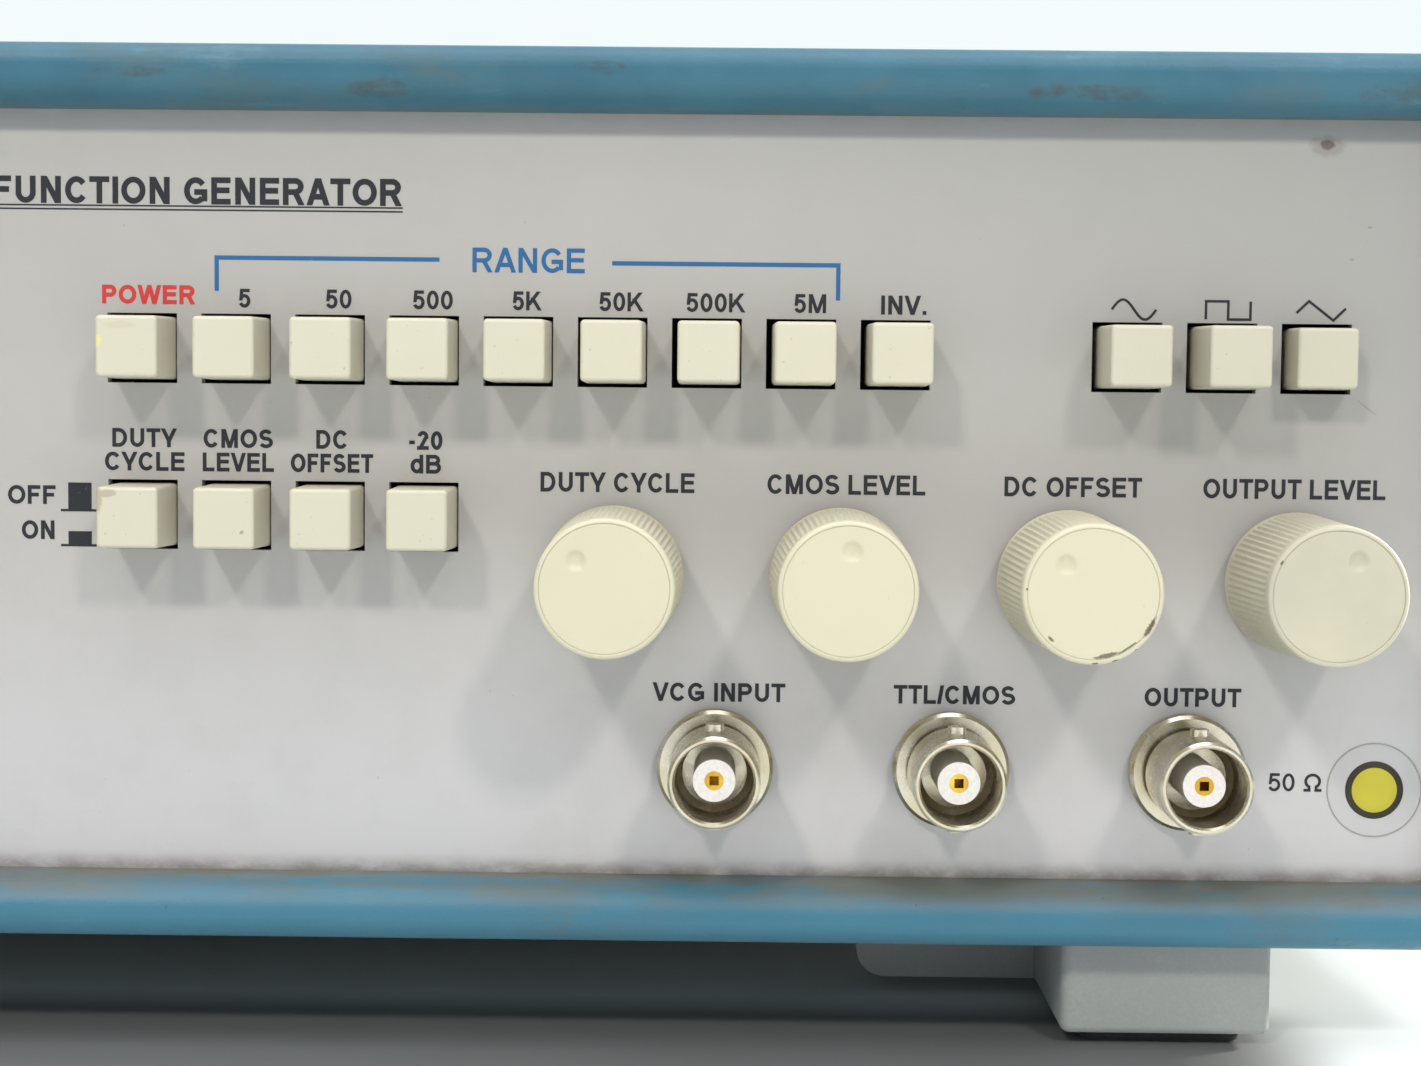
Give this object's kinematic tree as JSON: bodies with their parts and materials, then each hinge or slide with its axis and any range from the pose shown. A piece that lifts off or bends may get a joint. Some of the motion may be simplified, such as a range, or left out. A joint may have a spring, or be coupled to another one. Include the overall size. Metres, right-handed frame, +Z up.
{
  "type": "function generator",
  "caption": "Bench function generator: boxy case with moulded front bezel, push-button rows, ribbed knobs, BNC sockets, display window, feet and fold-out tilt legs.",
  "frame": {"origin": "bottom centre of the whole object's box, on the surface that its pads stand on", "axes": "+Z up, the front panel faces -Y, +X to the right seen from the front"},
  "size_m": [0.251, 0.291, 0.1057],
  "materials": {
    "blade_brass": "nickel plated brass",
    "button_plastic": "cream, smooth moulding",
    "capacitor_sleeve": "printed sleeve over aluminium",
    "circuit_board": "green solder mask",
    "contact_gold": "gold plated",
    "core_steel": "varnished laminations",
    "cover_paint": "fine textured light grey paint on sheet steel",
    "display_plastic": "dark digit blocks",
    "foot_plastic": "moulded light warm grey",
    "frame_plastic": "moulded, semi-matt blue-grey",
    "fuse_glass": "clear tube with metal caps",
    "inlet_plastic": "black moulding",
    "jack_nickel": "nickel plated, slightly tarnished",
    "jack_ptfe": "white, waxy",
    "knob_plastic": "cream, ribbed sides and smooth face",
    "nut_nickel": "nickel plated",
    "pad_rubber": "black rubber",
    "panel_paint": "satin light grey with screen-printed legends",
    "pin_steel": "plain steel",
    "plated_steel": "zinc plated",
    "pot_metal": "pressed steel bodies and brass bushings",
    "rear_aluminium": "satin",
    "ribbon_plastic": "grey flat cable",
    "screw_steel": "nickel plated pan heads",
    "sink_aluminium": "black anodised",
    "switch_plastic": "black housings",
    "winding_copper": "copper winding under yellow tape",
    "window_acrylic": "tinted, polished"
  },
  "bodies": {
    "root": {"board_standoffs": "plated_steel", "bottom_cover": "cover_paint", "case_screws": "screw_steel", "display_module": "display_plastic", "display_window": "window_acrylic", "feet": "foot_plastic", "filter_capacitors": "capacitor_sleeve", "foot_pads": "pad_rubber", "front_bezel": "frame_plastic", "front_board": "circuit_board", "front_panel": "panel_paint", "heat_sink": "sink_aluminium", "inlet_pins": "blade_brass", "jack_contacts": "contact_gold", "jack_insulators": "jack_ptfe", "leg_pins": "pin_steel", "main_board": "circuit_board", "main_output_jack": "jack_nickel", "mains_inlet": "inlet_plastic", "panel_nuts": "nut_nickel", "potentiometers": "pot_metal", "power_switch": "switch_plastic", "rear_frame": "frame_plastic", "rear_panel": "rear_aluminium", "ribbon_cable": "ribbon_plastic", "side_rails": "plated_steel", "sub_panel": "plated_steel", "switch_banks": "switch_plastic", "top_cover": "cover_paint", "transformer_core": "core_steel", "transformer_winding": "winding_copper", "ttl_output_jack": "jack_nickel", "vcg_input_jack": "jack_nickel"},
    "power_button": {"power_button": "button_plastic"},
    "range_5_button": {"range_5_button": "button_plastic"},
    "range_50_button": {"range_50_button": "button_plastic"},
    "range_500_button": {"range_500_button": "button_plastic"},
    "range_5k_button": {"range_5k_button": "button_plastic"},
    "range_50k_button": {"range_50k_button": "button_plastic"},
    "range_500k_button": {"range_500k_button": "button_plastic"},
    "range_5m_button": {"range_5m_button": "button_plastic"},
    "invert_button": {"invert_button": "button_plastic"},
    "sine_button": {"sine_button": "button_plastic"},
    "square_button": {"square_button": "button_plastic"},
    "triangle_button": {"triangle_button": "button_plastic"},
    "duty_cycle_button": {"duty_cycle_button": "button_plastic"},
    "cmos_level_button": {"cmos_level_button": "button_plastic"},
    "dc_offset_button": {"dc_offset_button": "button_plastic"},
    "attenuator_button": {"attenuator_button": "button_plastic"},
    "coarse_knob": {"coarse_knob": "knob_plastic"},
    "fine_knob": {"fine_knob": "knob_plastic"},
    "duty_knob": {"duty_knob": "knob_plastic"},
    "cmos_knob": {"cmos_knob": "knob_plastic"},
    "offset_knob": {"offset_knob": "knob_plastic"},
    "output_knob": {"output_knob": "knob_plastic"},
    "left_tilt_leg": {"left_tilt_leg": "foot_plastic"},
    "right_tilt_leg": {"right_tilt_leg": "foot_plastic"},
    "fuse_drawer": {"fuse_drawer": "inlet_plastic", "fuse": "fuse_glass"}
  },
  "joints": [
    {"name": "power_press", "type": "slide", "parent": "root", "child": "power_button", "axis": [0, 1, 0], "range_m": [0, 0.0035], "stiffness_N_per_m": 150, "springref_m": -0.005},
    {"name": "range_5_press", "type": "slide", "parent": "root", "child": "range_5_button", "axis": [0, 1, 0], "range_m": [0, 0.0035], "stiffness_N_per_m": 150, "springref_m": -0.005},
    {"name": "range_50_press", "type": "slide", "parent": "root", "child": "range_50_button", "axis": [0, 1, 0], "range_m": [0, 0.0035], "stiffness_N_per_m": 150, "springref_m": -0.005},
    {"name": "range_500_press", "type": "slide", "parent": "root", "child": "range_500_button", "axis": [0, 1, 0], "range_m": [0, 0.0035], "stiffness_N_per_m": 150, "springref_m": -0.005},
    {"name": "range_5k_press", "type": "slide", "parent": "root", "child": "range_5k_button", "axis": [0, 1, 0], "range_m": [0, 0.0035], "stiffness_N_per_m": 150, "springref_m": -0.005},
    {"name": "range_50k_press", "type": "slide", "parent": "root", "child": "range_50k_button", "axis": [0, 1, 0], "range_m": [0, 0.0035], "stiffness_N_per_m": 150, "springref_m": -0.005},
    {"name": "range_500k_press", "type": "slide", "parent": "root", "child": "range_500k_button", "axis": [0, 1, 0], "range_m": [0, 0.0035], "stiffness_N_per_m": 150, "springref_m": -0.005},
    {"name": "range_5m_press", "type": "slide", "parent": "root", "child": "range_5m_button", "axis": [0, 1, 0], "range_m": [0, 0.0035], "stiffness_N_per_m": 150, "springref_m": -0.005},
    {"name": "invert_press", "type": "slide", "parent": "root", "child": "invert_button", "axis": [0, 1, 0], "range_m": [0, 0.0035], "stiffness_N_per_m": 150, "springref_m": -0.005},
    {"name": "sine_press", "type": "slide", "parent": "root", "child": "sine_button", "axis": [0, 1, 0], "range_m": [0, 0.0035], "stiffness_N_per_m": 150, "springref_m": -0.005},
    {"name": "square_press", "type": "slide", "parent": "root", "child": "square_button", "axis": [0, 1, 0], "range_m": [0, 0.0035], "stiffness_N_per_m": 150, "springref_m": -0.005},
    {"name": "triangle_press", "type": "slide", "parent": "root", "child": "triangle_button", "axis": [0, 1, 0], "range_m": [-0.0034, 0]},
    {"name": "duty_cycle_press", "type": "slide", "parent": "root", "child": "duty_cycle_button", "axis": [0, 1, 0], "range_m": [0, 0.0035], "stiffness_N_per_m": 150, "springref_m": -0.005},
    {"name": "cmos_level_press", "type": "slide", "parent": "root", "child": "cmos_level_button", "axis": [0, 1, 0], "range_m": [0, 0.0035], "stiffness_N_per_m": 150, "springref_m": -0.005},
    {"name": "dc_offset_press", "type": "slide", "parent": "root", "child": "dc_offset_button", "axis": [0, 1, 0], "range_m": [0, 0.0035], "stiffness_N_per_m": 150, "springref_m": -0.005},
    {"name": "attenuator_press", "type": "slide", "parent": "root", "child": "attenuator_button", "axis": [0, 1, 0], "range_m": [0, 0.0035], "stiffness_N_per_m": 150, "springref_m": -0.005},
    {"name": "coarse_turn", "type": "hinge", "parent": "root", "child": "coarse_knob", "pos_m": [-0.096, -0.1273, 0.0504], "axis": [0, 1, 0], "range_deg": [-130, 170]},
    {"name": "fine_turn", "type": "hinge", "parent": "root", "child": "fine_knob", "pos_m": [-0.06, -0.1273, 0.0504], "axis": [0, 1, 0], "range_deg": [-160, 140]},
    {"name": "duty_turn", "type": "hinge", "parent": "root", "child": "duty_knob", "pos_m": [0.0307, -0.1273, 0.0504], "axis": [0, 1, 0], "range_deg": [-105, 195]},
    {"name": "cmos_turn", "type": "hinge", "parent": "root", "child": "cmos_knob", "pos_m": [0.0548, -0.1273, 0.0504], "axis": [0, 1, 0], "range_deg": [-155, 145]},
    {"name": "offset_turn", "type": "hinge", "parent": "root", "child": "offset_knob", "pos_m": [0.0789, -0.1273, 0.0504], "axis": [0, 1, 0], "range_deg": [-107, 193]},
    {"name": "output_turn", "type": "hinge", "parent": "root", "child": "output_knob", "pos_m": [0.103, -0.1273, 0.0504], "axis": [0, 1, 0], "range_deg": [-178, 122]},
    {"name": "left_leg_swing", "type": "hinge", "parent": "root", "child": "left_tilt_leg", "pos_m": [-0.0925, -0.1012, 0.0065], "axis": [0, 1, 0], "range_deg": [0, 90]},
    {"name": "right_leg_swing", "type": "hinge", "parent": "root", "child": "right_tilt_leg", "pos_m": [0.0925, -0.1012, 0.0065], "axis": [0, -1, 0], "range_deg": [0, 90]},
    {"name": "fuse_drawer_slide", "type": "slide", "parent": "root", "child": "fuse_drawer", "axis": [0, 1, 0], "range_m": [0, 0.016]}
  ]
}
